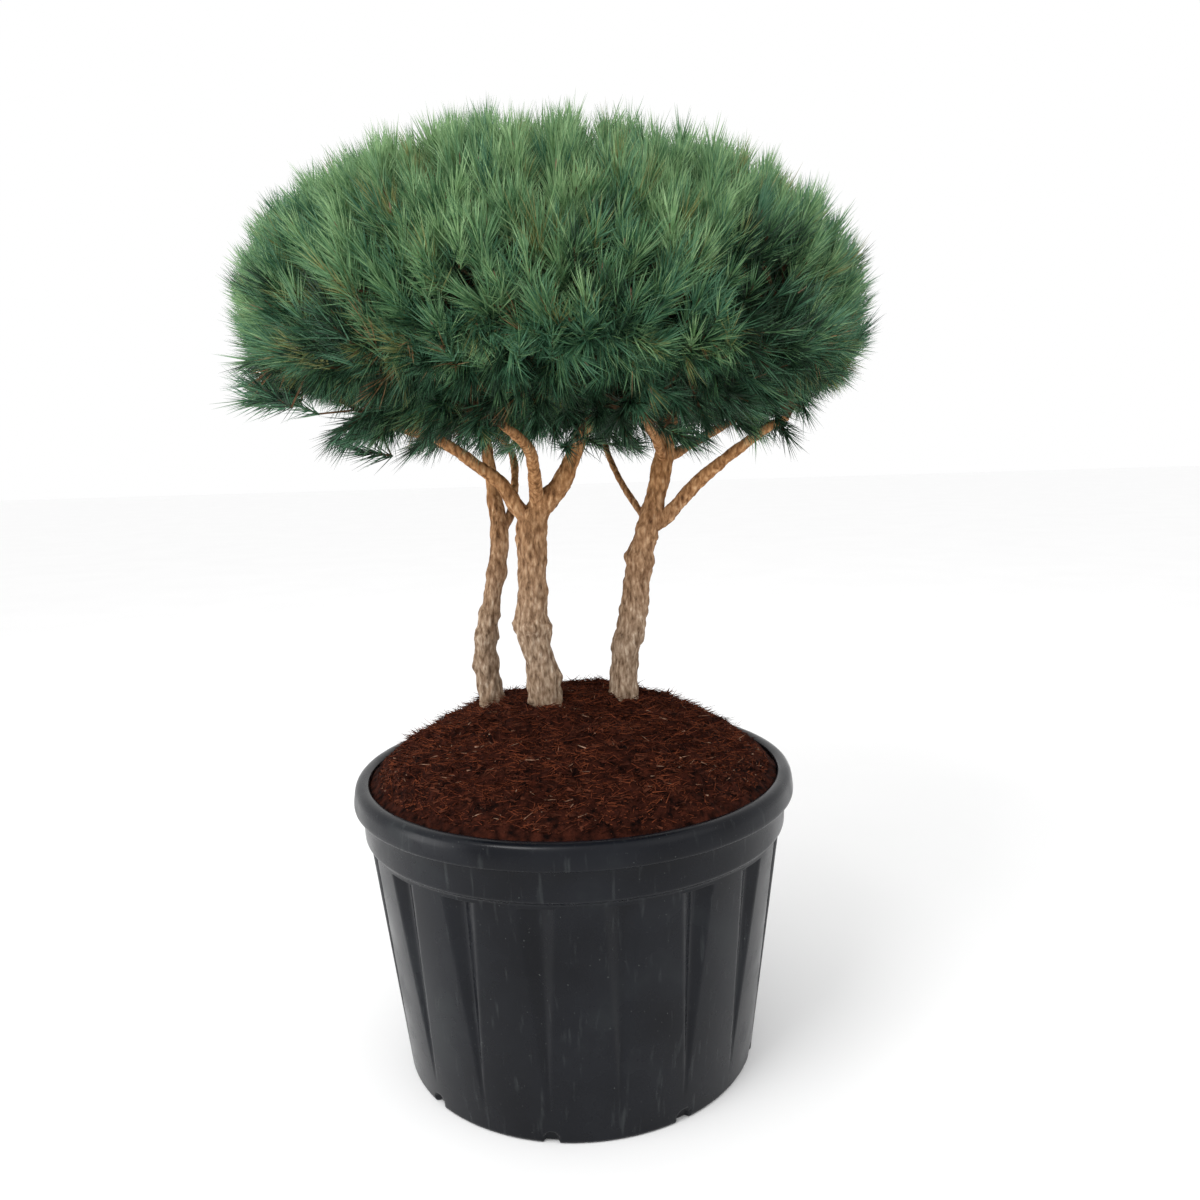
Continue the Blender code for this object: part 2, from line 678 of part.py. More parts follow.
def grow_mass(name, places, lines, finish):
    """A stem, twigs that branch from it to every tuft, a core and the tufts, fused to one body."""
    rng = random.Random(SEED + list(MASSES).index(name))
    limb, middle = MASSES[name]
    planes = cell_planes(name)
    centre = np.array([*middle, CORE_MIDDLE])
    line, radii = stem_line(limb, centre)
    pieces = [add_object("core", core_mesh(centre, planes)), add_object("stem", sweep(line, radii, BOUGH_SIDES))]
    tufts = []
    for point in places:
        way = tuft_direction(point, rng)
        form = tuft_form(point, way, planes, rng)
        root, ring, _, tips = form
        crossed = any((spot - start) @ normal > -0.0003 for spot in [root, *ring] for start, normal in planes)
        if crossed or any(touches_limb(root, tip, 0.002, lines) for tip in tips):
            continue
        tufts.append(form)
        pieces.append(add_object("tuft", tuft_mesh(*form)))
    forks = [line[2] + (centre - line[2]) * (0.15 + 0.5 * count / BRANCHES) for count in range(BRANCHES)]
    by_angle = sorted(tufts, key=lambda form: math.atan2(*(form[0] - centre)[1::-1]))
    share = math.ceil(len(by_angle) / BRANCHES)
    for count, fork in enumerate(forks):
        group = by_angle[count * share:(count + 1) * share]
        if not group:
            continue
        meeting = fork + (np.mean([form[0] for form in group], axis=0) - fork) * 0.5
        if touches_limb(meeting, meeting, TWIG_RADIUS, lines):
            continue
        pieces.append(twig_object(fork, meeting, TWIG_RADIUS * 1.3))
        for root, ring, _, _ in group:
            end = root + (np.mean(ring, axis=0) - root) * 0.6
            if not touches_limb(meeting, end, TWIG_RADIUS, lines):
                pieces.append(twig_object(meeting, end, TWIG_RADIUS))
    return fuse(name, pieces, finish)


def main():
    clear_scene()
    plastic = principled("pot_plastic", (0.022, 0.026, 0.030), 0.42)
    mulch = principled("soil_mulch", (0.085, 0.030, 0.014), 0.95)
    bark = principled("bark", (0.30, 0.20, 0.12), 0.85)
    needles = principled("needles", (0.055, 0.150, 0.075), 0.55)
    make_pot(plastic)
    make_limbs(bark)
    make_soil(mulch, [grown_copy(name) for name in TRUNKS])
    lines = limb_lines()
    for name, places in tuft_places().items():
        grow_mass(name, places, lines, needles)


main()
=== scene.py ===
import bpy
import math
import numpy as np
from mathutils import Matrix


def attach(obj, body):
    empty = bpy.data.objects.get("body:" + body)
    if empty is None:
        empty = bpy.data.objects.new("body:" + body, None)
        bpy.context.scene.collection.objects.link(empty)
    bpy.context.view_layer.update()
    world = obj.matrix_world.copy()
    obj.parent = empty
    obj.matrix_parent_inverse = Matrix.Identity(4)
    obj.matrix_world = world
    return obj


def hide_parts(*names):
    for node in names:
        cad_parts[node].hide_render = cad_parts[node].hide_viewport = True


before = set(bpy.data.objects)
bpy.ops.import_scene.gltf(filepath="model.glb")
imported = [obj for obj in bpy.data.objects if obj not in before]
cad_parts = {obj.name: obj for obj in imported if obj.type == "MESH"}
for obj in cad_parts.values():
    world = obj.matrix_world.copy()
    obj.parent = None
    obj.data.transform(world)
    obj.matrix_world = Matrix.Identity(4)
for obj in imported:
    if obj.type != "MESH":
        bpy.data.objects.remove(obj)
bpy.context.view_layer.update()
rng = np.random.default_rng(41)


# Small helpers: meshes
def meshPiece(name, points, faces, finish, replaced=(), smooth=False):
    # faces is an array of rows of three or four vertex numbers
    mesh = bpy.data.meshes.new(name)
    count, corners = faces.shape
    mesh.vertices.add(len(points))
    mesh.vertices.foreach_set("co", np.asarray(points, dtype=np.float32).ravel())
    mesh.loops.add(count * corners)
    mesh.loops.foreach_set("vertex_index", faces.astype(np.int32).ravel())
    mesh.polygons.add(count)
    mesh.polygons.foreach_set("loop_start", np.arange(0, count * corners, corners, dtype=np.int32))
    mesh.polygons.foreach_set("use_smooth", np.full(count, smooth))
    mesh.update(calc_edges=True)
    mesh.materials.append(finish)
    piece = bpy.data.objects.new(name, mesh)
    bpy.context.scene.collection.objects.link(piece)
    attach(piece, "root")
    if replaced:
        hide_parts(*replaced)
    return piece


def gridFaces(rows, columns):
    # quads between neighbouring rows of a grid whose columns close into a ring
    row, column = np.meshgrid(np.arange(rows - 1), np.arange(columns), indexing="ij")
    after = (column + 1) % columns
    quads = np.stack([row * columns + column, row * columns + after,
                      (row + 1) * columns + after, (row + 1) * columns + column], axis=-1)
    return quads.reshape(-1, 4)


def closedRings(rows, columns):
    # the same grid in triangles, and a fan from each end ring to one of the two points that follow the grid
    quads = gridFaces(rows, columns)
    column = np.arange(columns)
    after = (column + 1) % columns
    top = (rows - 1) * columns
    low = np.stack([np.full(columns, rows * columns), after, column], axis=1)
    high = np.stack([np.full(columns, rows * columns + 1), top + column, top + after], axis=1)
    return np.vstack([quads[:, [0, 1, 2]], quads[:, [0, 2, 3]], low, high])


def joined(sets):
    # several pairs of points and faces made one, each set's vertex numbers moved past those before it
    shifts = np.cumsum([0] + [len(points) for points, _ in sets])
    faces = [own + shift for (_, own), shift in zip(sets, shifts)]
    return np.vstack([points for points, _ in sets]), np.vstack(faces)


def unit(rows, least=1e-6):
    # each row divided by its length
    return rows / np.maximum(np.linalg.norm(rows, axis=1), least)[:, None]


def acrossWays(way):
    # two unit directions square to each row's way and to each other
    helper = np.where(np.abs(way[:, 2:3]) < 0.9, [[0.0, 0.0, 1.0]], [[1.0, 0.0, 0.0]])
    side = unit(np.cross(way, helper))
    return side, np.cross(way, side)


def waveNoise(points, scale, seed, waves=9):
    # sum of sine waves in random directions, about -1 to 1
    dice = np.random.default_rng(seed)
    total = np.zeros(points.shape[:-1])
    for _ in range(waves):
        way = dice.normal(size=3) * scale
        total += np.sin(points @ way + dice.uniform(0, math.tau))
    return total / math.sqrt(waves)


def spikes(start, way, length, width):
    # one slim three-sided pyramid for each row: a base triangle round the start and a point at its far end
    side, other = acrossWays(way)
    turn = rng.uniform(0, math.tau, len(start))
    corners = []
    for third in range(3):
        around = turn + math.tau * third / 3
        spoke = side * np.cos(around)[:, None] + other * np.sin(around)[:, None]
        corners.append(start + spoke * width[:, None])
    tips = start + way * length[:, None]
    points = np.stack(corners + [tips], axis=1).reshape(-1, 3)
    first = np.arange(len(start))[:, None] * 4
    faces = np.stack([first + [0, 1, 3], first + [1, 2, 3], first + [2, 0, 3]], axis=1)
    return points, faces.reshape(-1, 3)


def sticks(start, end, thick, thin):
    # one three-sided tapered rod for each row of end, open at both ends where it is sunk in its neighbours
    side, other = acrossWays(unit(end - start))
    rings = []
    for point, radius in ((start, thick), (end, thin)):
        for third in range(3):
            around = math.tau * third / 3
            rings.append(point + (side * math.cos(around) + other * math.sin(around)) * radius)
    points = np.stack(rings, axis=1).reshape(-1, 3)
    first = np.arange(len(end))[:, None] * 6
    faces = np.stack([first + [a, (a + 1) % 3, 3 + (a + 1) % 3, 3 + a] for a in range(3)], axis=1)
    return points, faces.reshape(-1, 4)


# Small helpers: material nodes
def newFinish(name, roughness, gloss):
    finish = bpy.data.materials.new(name)
    finish.use_nodes = True
    nodes = finish.node_tree.nodes
    shader = nodes["Principled BSDF"]
    shader.inputs["Roughness"].default_value = roughness
    shader.inputs["Specular IOR Level"].default_value = gloss
    place = nodes.new("ShaderNodeTexCoord")
    return finish, nodes, finish.node_tree.links, shader, place.outputs["Object"]


def noiseNode(nodes, links, place, scale, detail):
    noise = nodes.new("ShaderNodeTexNoise")
    noise.inputs["Scale"].default_value = scale
    noise.inputs["Detail"].default_value = detail
    links.new(place, noise.inputs["Vector"])
    return noise.outputs["Fac"]


def stretched(nodes, links, place, scale):
    mapping = nodes.new("ShaderNodeMapping")
    mapping.inputs["Scale"].default_value = scale
    links.new(place, mapping.inputs["Vector"])
    return mapping.outputs["Vector"]


def rampNode(nodes, links, source, stops):
    # stops are pairs of a position and a colour
    ramp = nodes.new("ShaderNodeValToRGB")
    ends = ramp.color_ramp.elements
    ends[0].position = stops[0][0]
    ends[0].color = (*stops[0][1], 1.0)
    ends[1].position = stops[-1][0]
    ends[1].color = (*stops[-1][1], 1.0)
    for position, colour in stops[1:-1]:
        ramp.color_ramp.elements.new(position).color = (*colour, 1.0)
    links.new(source, ramp.inputs["Fac"])
    return ramp.outputs["Color"]


def mixNode(nodes, links, share, first, second, blend="MIX"):
    # inputs 0, 6 and 7 are the share and the two colours
    mix = nodes.new("ShaderNodeMix")
    mix.data_type = "RGBA"
    mix.blend_type = blend
    if isinstance(share, float):
        mix.inputs[0].default_value = share
    else:
        links.new(share, mix.inputs[0])
    links.new(first, mix.inputs[6])
    links.new(second, mix.inputs[7])
    return mix.outputs[2]


def bumpNode(nodes, links, shader, height, distance, strength):
    bump = nodes.new("ShaderNodeBump")
    bump.inputs["Strength"].default_value = strength
    bump.inputs["Distance"].default_value = distance
    links.new(height, bump.inputs["Height"])
    links.new(bump.outputs["Normal"], shader.inputs["Normal"])


mottleSet = dict(detail=5.0, darkStop=0.34, lightStop=0.68, bumpScale=3.0, bumpDetail=6.0, bumpStrength=0.8)


def mottledFinish(name, dark, light, scale, roughness, bump=0.0, gloss=0.06):
    # soft clouds between two colours, with a finer bump where one is asked for
    s = mottleSet
    finish, nodes, links, shader, place = newFinish(name, roughness, gloss)
    cloud = noiseNode(nodes, links, place, scale, s["detail"])
    colour = rampNode(nodes, links, cloud, [(s["darkStop"], dark), (s["lightStop"], light)])
    links.new(colour, shader.inputs["Base Color"])
    if bump:
        finer = noiseNode(nodes, links, place, scale * s["bumpScale"], s["bumpDetail"])
        bumpNode(nodes, links, shader, finer, bump, s["bumpStrength"])
    return finish


# Studio: the camera's height, tilt and roll come from the circles of the pot and the heights in the picture
cameraSet = dict(
    place=(0.060, -1.778, 1.067),
    pitch=0.0648,
    roll=0.0292,
    lens=29.87,
    sensor=36.0,
    shift=-0.0713,
)
studioSet = dict(
    sky=1.0,
    aim=(0.0, 0.0, 1.1),
    floorHalf=30.0,
    floorDark=(0.96, 0.96, 0.96),
    floorLight=(0.975, 0.975, 0.975),
    floorScale=2.0,
    floorRoughness=0.9,
    lamps=(  # name, watts, place, width
        ("keyLight", 70.0, (-1.5, -2.2, 3.7), 1.5),
        ("sideLight", 24.0, (-2.7, -1.0, 0.9), 1.4),
        ("fillLight", 10.0, (2.4, -1.8, 2.2), 2.2),
    ),
)


def makeFloor():
    s = studioSet
    half = s["floorHalf"]
    corners = [(-half, -half, 0), (half, -half, 0), (half, half, 0), (-half, half, 0)]
    mesh = bpy.data.meshes.new("studioFloor")
    mesh.from_pydata(corners, [], [(0, 1, 2, 3)])
    finish = mottledFinish("paleFloor", s["floorDark"], s["floorLight"], s["floorScale"], s["floorRoughness"])
    mesh.materials.append(finish)
    floor = bpy.data.objects.new("studioFloor", mesh)
    bpy.context.scene.collection.objects.link(floor)


def makeLights():
    world = bpy.data.worlds.new("softSky")
    world.use_nodes = True
    background = world.node_tree.nodes["Background"]
    background.inputs["Color"].default_value = (1.0, 1.0, 1.0, 1.0)
    background.inputs["Strength"].default_value = studioSet["sky"]
    bpy.context.scene.world = world
    bpy.context.scene.view_settings.view_transform = "Standard"
    for name, power, place, size in studioSet["lamps"]:
        lamp = bpy.data.lights.new(name, "AREA")
        lamp.energy = power
        lamp.size = size
        holder = bpy.data.objects.new(name, lamp)
        bpy.context.scene.collection.objects.link(holder)
        aim = np.array(studioSet["aim"]) - np.array(place)
        turn = Matrix.Rotation(math.atan2(aim[1], aim[0]) - math.pi / 2, 4, "Z")
        drop = Matrix.Rotation(math.atan2(np.hypot(aim[0], aim[1]), -aim[2]), 4, "X")
        holder.matrix_world = Matrix.Translation(place) @ turn @ drop


def makeCamera():
    s = cameraSet
    eye = bpy.data.cameras.new("photoCamera")
    eye.lens = s["lens"]
    eye.sensor_width = s["sensor"]
    eye.shift_y = s["shift"]
    seat = bpy.data.objects.new("photoCamera", eye)
    bpy.context.scene.collection.objects.link(seat)
    tilt = Matrix.Rotation(math.pi / 2 - s["pitch"], 4, "X")
    seat.matrix_world = Matrix.Translation(s["place"]) @ tilt @ Matrix.Rotation(-s["roll"], 4, "Z")
    bpy.context.scene.camera = seat
    print("studio done")


# Pot
potSet = dict(
    columns=576,
    facing=math.radians(-88.0),
    wallFoot=(0.309, 0.0),  # radius and height, as in the rim below
    wallTop=(0.3655, 0.405),
    base=[(0.05, 0.0), (0.15, 0.0), (0.298, 0.0)],
    corner=[(0.305, 0.0003), (0.3085, 0.002)],
    footRows=(0.0045, 0.026, 0.0018),  # from, to and step, close together where the notches are
    wallRows=(0.03, 0.392, 40),  # from, to and count
    collarRows=[0.395, 0.3975, 0.3984, 0.3986, 0.399, 0.402, 0.405],
    rim=[(0.3668, 0.4062), (0.3712, 0.4102), (0.3728, 0.4118), (0.3735, 0.4140), (0.3738, 0.4165),
         (0.3745, 0.4300), (0.3755, 0.4450), (0.3762, 0.4580), (0.3770, 0.4612), (0.3800, 0.4630),
         (0.3850, 0.4632), (0.3884, 0.4642), (0.3899, 0.4662), (0.3904, 0.4690), (0.3903, 0.4730),
         (0.3895, 0.4800), (0.3886, 0.4870), (0.3874, 0.4925), (0.3852, 0.4975), (0.3820, 0.5008),
         (0.3780, 0.5024), (0.3730, 0.5028), (0.3680, 0.5022), (0.3645, 0.5004), (0.3630, 0.4970),
         (0.3626, 0.4900), (0.3626, 0.4700), (0.3480, 0.4300), (0.2960, 0.0120), (0.0500, 0.0120)],
    flutes=18,
    fluteTop=0.3985,
    flutePoint=0.045,
    fluteDepth=0.0125,
    fluteHalf=0.0290,
    fluteSlope=0.85,  # share of the half width that slopes
    fluteFade=0.8,
    notchEvery=2,  # one notch under every second flute
    notchHalf=0.0125,
    notchTop=0.020,
    notchDepth=0.0072,
    notchEdge=0.002,
)
plasticSet = dict(
    roughness=0.3,
    gloss=0.17,
    body=[(0.35, (0.0025, 0.003, 0.005)), (0.6, (0.006, 0.007, 0.010)), (0.8, (0.015, 0.018, 0.020))],
    dust=[(0.60, (0.0, 0.0, 0.0)), (0.80, (0.024, 0.027, 0.026))],
    specks=[(0.73, (0.0, 0.0, 0.0)), (0.80, (0.10, 0.11, 0.10))],
    sheen=[(0.3, (0.17, 0.17, 0.17)), (0.75, (0.38, 0.38, 0.38))],
    dustStretch=(60.0, 60.0, 5.0),
    bodyNoise=(7.0, 8.0),  # scale and detail
    dustNoise=(1.6, 6.0),
    speckNoise=(260.0, 2.0),
    sheenNoise=(14.0, 7.0),
    bumpNoise=(420.0, 3.0),
    bump=(0.0004, 0.25),  # height and strength
)


def plasticFinish():
    # near-black plastic with runs of dust down the wall, pale specks and an uneven sheen
    s = plasticSet
    finish, nodes, links, shader, place = newFinish("charcoalPlastic", s["roughness"], s["gloss"])
    body = rampNode(nodes, links, noiseNode(nodes, links, place, *s["bodyNoise"]), s["body"])
    runs = noiseNode(nodes, links, stretched(nodes, links, place, s["dustStretch"]), *s["dustNoise"])
    colour = mixNode(nodes, links, 1.0, body, rampNode(nodes, links, runs, s["dust"]), "ADD")
    specks = rampNode(nodes, links, noiseNode(nodes, links, place, *s["speckNoise"]), s["specks"])
    links.new(mixNode(nodes, links, 1.0, colour, specks, "ADD"), shader.inputs["Base Color"])
    sheen = rampNode(nodes, links, noiseNode(nodes, links, place, *s["sheenNoise"]), s["sheen"])
    links.new(sheen, shader.inputs["Roughness"])
    bumpNode(nodes, links, shader, noiseNode(nodes, links, place, *s["bumpNoise"]), *s["bump"])
    return finish


def makePot():
    # a turned profile whose radius is drawn in where a flute or a notch lies
    s = potSet
    wallHeights = np.concatenate([np.arange(*s["footRows"]), np.linspace(*s["wallRows"]), s["collarRows"]])
    (footRadius, _), (topRadius, topHeight) = s["wallFoot"], s["wallTop"]
    wall = [(footRadius + (topRadius - footRadius) * z / topHeight, z) for z in wallHeights]
    profile = np.array(s["base"] + s["corner"] + wall + s["rim"])
    wallStart = len(s["base"]) + len(s["corner"])
    wallEnd = wallStart + len(wall)
    around = s["facing"] + math.tau * np.arange(s["columns"]) / s["columns"]
    radius = np.repeat(profile[:, :1], s["columns"], axis=1)
    height = np.repeat(profile[:, 1:], s["columns"], axis=1)

    # offset is the distance along the wall from the nearest flute's middle line
    spacing = math.tau / s["flutes"]
    turn = (around - s["facing"]) / spacing - 0.5
    offset = (turn - np.round(turn)) * spacing * radius

    # flutes: a wedge from a point low on the wall to its full width at the top, with two sloping sides
    share = (height - s["flutePoint"]) / (s["fluteTop"] - s["flutePoint"])
    half = s["fluteHalf"] * np.clip(share, 1e-4, 1.0)
    edge = np.clip((half - np.abs(offset)) / (half * s["fluteSlope"] + 1e-4), 0.0, 1.0)
    onWall = np.zeros(len(profile), dtype=bool)
    onWall[wallStart:wallEnd] = True
    inFlute = onWall[:, None] & (share > 0) & (height < s["fluteTop"])
    drawnIn = np.where(inFlute, s["fluteDepth"] * np.clip(share, 0, 1) ** s["fluteFade"] * edge, 0.0)

    # notches: round-headed, at the foot of the wall
    under = np.round(turn).astype(int) % s["notchEvery"] == 1
    archRise = np.clip(height - (s["notchTop"] - s["notchHalf"]), 0.0, None)
    archHalf = np.sqrt(np.clip(s["notchHalf"] ** 2 - archRise ** 2, 0.0, None))
    inNotch = np.clip((archHalf - np.abs(offset)) / s["notchEdge"], 0.0, 1.0)
    inNotch = inNotch * under * (height < s["notchTop"])
    inNotch[:len(s["base"])] = 0.0
    inNotch[wallEnd:] = 0.0

    radius = radius - drawnIn - s["notchDepth"] * inNotch
    points = np.stack([radius * np.cos(around), radius * np.sin(around), height], axis=-1).reshape(-1, 3)
    ends = [[0.0, 0.0, profile[0, 1]], [0.0, 0.0, profile[-1, 1]]]
    points = np.vstack([points, ends])
    faces = closedRings(len(profile), s["columns"])
    meshPiece("potShell", points, faces, plasticFinish(), ("pot",), True)
    print("pot done")


# Soil
soilSet = dict(
    rings=110,
    columns=360,
    edge=0.494,
    peak=0.6235,
    power=2.3,
    mouth=0.3620,
    skirt=0.472,
    lumps=((0.0050, 30.0, 5), (0.0042, 85.0, 6), (0.0030, 210.0, 7)),  # height, scale, seed
    lumpShares=(0.35, 0.65, 6),  # share of the lumps kept at the rim, what is added inside, and how soon
    ringPower=0.8,
    earthDark=(0.004, 0.0012, 0.0009),
    earthLight=(0.052, 0.013, 0.007),
    earthFinish=(70.0, 0.95, 0.006),  # scale of the pattern, roughness, bump
    spread=0.965,  # fibres lie within this share of the mouth
    turnBack=0.31,  # past this radius they point inwards
    lowest=0.47,
    fibreSlope=(0.05, 0.22),  # middle and stray
    fibreLift=(0.0, 0.0025),
    fibreWidths=(0.6, 1.5),
)
fibres = {
    # count, shortest and longest, half width, dark and light colour, scale of the pattern, roughness
    "fibreDark": (11000, (0.010, 0.034), 0.0007, (0.012, 0.004, 0.003), (0.060, 0.015, 0.009), 30.0, 0.9),
    "fibreRed": (11000, (0.010, 0.030), 0.0006, (0.070, 0.016, 0.008), (0.230, 0.062, 0.027), 30.0, 0.9),
    "chipBrown": (3600, (0.008, 0.020), 0.0019, (0.022, 0.006, 0.004), (0.110, 0.034, 0.018), 40.0, 0.9),
    "chipPale": (420, (0.007, 0.022), 0.0010, (0.16, 0.075, 0.042), (0.42, 0.27, 0.19), 60.0, 0.85),
}


def moundHeight(x, y):
    # the same dome as the solid's, a power of the distance from the middle, with lumps and crumbs on it
    s = soilSet
    away = np.minimum(np.hypot(x, y) / s["mouth"], 1.0)
    spot = np.stack([x, y, np.zeros_like(x)], axis=-1)
    rimShare, innerShare, power = s["lumpShares"]
    kept = rimShare + innerShare * (1.0 - away ** power)
    lumps = sum(height * waveNoise(spot, scale, seed) for height, scale, seed in s["lumps"])
    return s["edge"] + (s["peak"] - s["edge"]) * (1.0 - away ** s["power"]) + lumps * kept


def makeMound():
    # rings from the middle out, each at the mound's height, then a skirt down inside the pot, closed below
    s = soilSet
    away = s["mouth"] * np.linspace(0.002, 1.0, s["rings"]) ** s["ringPower"]
    around = math.tau * np.arange(s["columns"]) / s["columns"]
    x = away[:, None] * np.cos(around)
    y = away[:, None] * np.sin(around)
    z = moundHeight(x, y)
    skirt = np.stack([x[-1], y[-1], np.full(s["columns"], s["skirt"])], axis=-1)
    grid = np.concatenate([np.stack([x, y, z], axis=-1), skirt[None]])
    ends = [[0.0, 0.0, z[0].mean()], [0.0, 0.0, s["skirt"]]]
    # the rings run outwards, so the faces are turned over
    faces = closedRings(len(grid), s["columns"])[:, ::-1]
    earth = mottledFinish("darkMulch", s["earthDark"], s["earthLight"], *s["earthFinish"])
    meshPiece("soilMound", np.vstack([grid.reshape(-1, 3), ends]), faces, earth, ("soil",), True)


def makeFibres():
    # slim spikes lying on the mound in all directions, turned inwards where they would cross the rim
    s = soilSet
    for name, (count, reach, width, dark, light, scale, roughness) in fibres.items():
        spot = s["mouth"] * s["spread"] * np.sqrt(rng.uniform(0, 1, count))
        angle = rng.uniform(0, math.tau, count)
        x, y = spot * np.cos(angle), spot * np.sin(angle)
        heading = rng.uniform(0, math.tau, count)
        way = np.stack([np.cos(heading), np.sin(heading), rng.normal(*s["fibreSlope"], count)], axis=-1)
        outward = (x * way[:, 0] + y * way[:, 1] > 0) & (spot > s["turnBack"])
        way[outward, :2] *= -1
        start = np.stack([x, y, moundHeight(x, y) + rng.uniform(*s["fibreLift"], count)], axis=-1)
        length = rng.uniform(*reach, count)
        points, faces = spikes(start, unit(way), length, width * rng.uniform(*s["fibreWidths"], count))
        points[:, 2] = np.maximum(points[:, 2], s["lowest"])
        finish = mottledFinish(name, dark, light, scale, roughness)
        meshPiece("soil_" + name, points, faces, finish)
    print("soil done")


# Limbs: the same waypoints (x, y, z, radius) as the solids
trunks = {
    "trunk_left": [
        (-0.152, 0.070, 0.593, 0.0205), (-0.162, 0.070, 0.700, 0.0205), (-0.147, 0.072, 0.790, 0.0165),
        (-0.131, 0.075, 0.880, 0.0165), (-0.129, 0.080, 0.925, 0.0165), (-0.135, 0.090, 0.970, 0.0140),
        (-0.144, 0.095, 1.034, 0.0120), (-0.155, 0.085, 1.140, 0.0095)],
    "trunk_middle": [
        (-0.046, -0.030, 0.6115, 0.0270), (-0.053, -0.030, 0.690, 0.0265), (-0.065, -0.030, 0.755, 0.0270),
        (-0.062, -0.030, 0.850, 0.0250), (-0.059, -0.030, 0.940, 0.0265), (-0.038, -0.034, 0.974, 0.0195),
        (-0.010, -0.039, 1.006, 0.0165), (0.018, -0.040, 1.060, 0.0135), (0.055, -0.040, 1.140, 0.0105)],
    "trunk_right": [
        (0.092, 0.000, 0.608, 0.0260), (0.097, 0.000, 0.690, 0.0245), (0.113, 0.000, 0.763, 0.0245),
        (0.124, 0.000, 0.835, 0.0220), (0.133, 0.000, 0.890, 0.0210), (0.147, 0.000, 0.932, 0.0220),
        (0.162, 0.005, 0.985, 0.0180), (0.177, 0.010, 1.045, 0.0170), (0.197, 0.015, 1.140, 0.0105)],
}
knots = {
    # height and extra radius
    "trunk_left": [(0.672, 0.003), (0.724, 0.004), (0.768, 0.0035), (0.842, 0.003)],
    "trunk_middle": [(0.668, 0.003), (0.758, 0.007)],
    "trunk_right": [(0.727, 0.002), (0.872, 0.004)],
}
boughs = {
    "bough_right_low": [
        (0.146, 0.000, 0.925, 0.0140), (0.174, -0.005, 0.941, 0.0134), (0.239, -0.025, 1.010, 0.0118),
        (0.293, -0.050, 1.055, 0.0095), (0.348, -0.075, 1.095, 0.0075), (0.380, -0.095, 1.113, 0.0064)],
    "bough_right_back": [
        (0.179, 0.011, 1.046, 0.0095), (0.228, 0.050, 1.071, 0.0090), (0.273, 0.090, 1.094, 0.0083),
        (0.325, 0.160, 1.118, 0.0068)],
    "bough_right_front": [
        (0.177, 0.010, 1.045, 0.0088), (0.160, -0.060, 1.083, 0.0078), (0.145, -0.125, 1.103, 0.0070),
        (0.130, -0.215, 1.120, 0.0060)],
    "bough_right_thin": [
        (0.147, 0.000, 0.930, 0.0064), (0.107, 0.060, 0.995, 0.0060), (0.085, 0.115, 1.042, 0.0056),
        (0.072, 0.180, 1.084, 0.0054), (0.068, 0.255, 1.115, 0.0050)],
    "bough_middle_left": [
        (-0.060, -0.030, 0.943, 0.0150), (-0.084, -0.037, 0.970, 0.0140), (-0.110, -0.050, 1.013, 0.0128),
        (-0.152, -0.070, 1.049, 0.0107), (-0.199, -0.090, 1.086, 0.0090), (-0.245, -0.110, 1.109, 0.0074),
        (-0.291, -0.130, 1.121, 0.0056)],
    "bough_middle_front": [
        (-0.056, -0.031, 0.948, 0.0125), (-0.050, -0.055, 0.998, 0.0118), (-0.050, -0.140, 1.060, 0.0099),
        (-0.062, -0.190, 1.086, 0.0082), (-0.085, -0.240, 1.108, 0.0066)],
    "bough_left_outer": [
        (-0.142, 0.094, 1.022, 0.0085), (-0.200, 0.100, 1.066, 0.0080), (-0.268, 0.114, 1.100, 0.0070),
        (-0.330, 0.124, 1.122, 0.0058)],
    "bough_left_back": [
        (-0.128, 0.078, 0.912, 0.0088), (-0.107, 0.100, 0.959, 0.0080), (-0.104, 0.170, 1.033, 0.0073),
        (-0.118, 0.222, 1.076, 0.0068), (-0.146, 0.275, 1.104, 0.0060)],
}
limbSet = dict(
    step=0.004,
    around=44,
    foot=0.005,
    footFade=0.025,
    knotFade=0.013,
    bare=0.985,  # share of the radius that the relief stands on
    upright=0.42,  # the relief is longer up the stem than round it
    plates=(0.095, 210.0, 11),  # share of the radius, scale, seed
    grain=(0.045, 520.0, 12),
    bulge=(0.055, 55.0, 13),
)
barkSet = dict(
    roughness=0.88,
    gloss=0.15,
    turn=(0.72, 1.02),  # heights between which grey-brown bark becomes orange
    low=[(0.27, (0.085, 0.050, 0.032)), (0.42, (0.27, 0.185, 0.120)),
         (0.58, (0.42, 0.310, 0.220)), (0.76, (0.72, 0.600, 0.470))],
    high=[(0.27, (0.120, 0.055, 0.024)), (0.44, (0.36, 0.175, 0.070)),
          (0.60, (0.56, 0.300, 0.135)), (0.78, (0.78, 0.52, 0.29))],
    cracks=[(0.35, (1.0, 1.0, 1.0)), (0.95, (0.55, 0.48, 0.43))],
    flakeStretch=(150.0, 150.0, 62.0),
    grainStretch=(170.0, 170.0, 62.0),
    grainNoise=(1.0, 9.0),  # scale and detail
    bump=(0.004, 0.9),  # height and strength
)


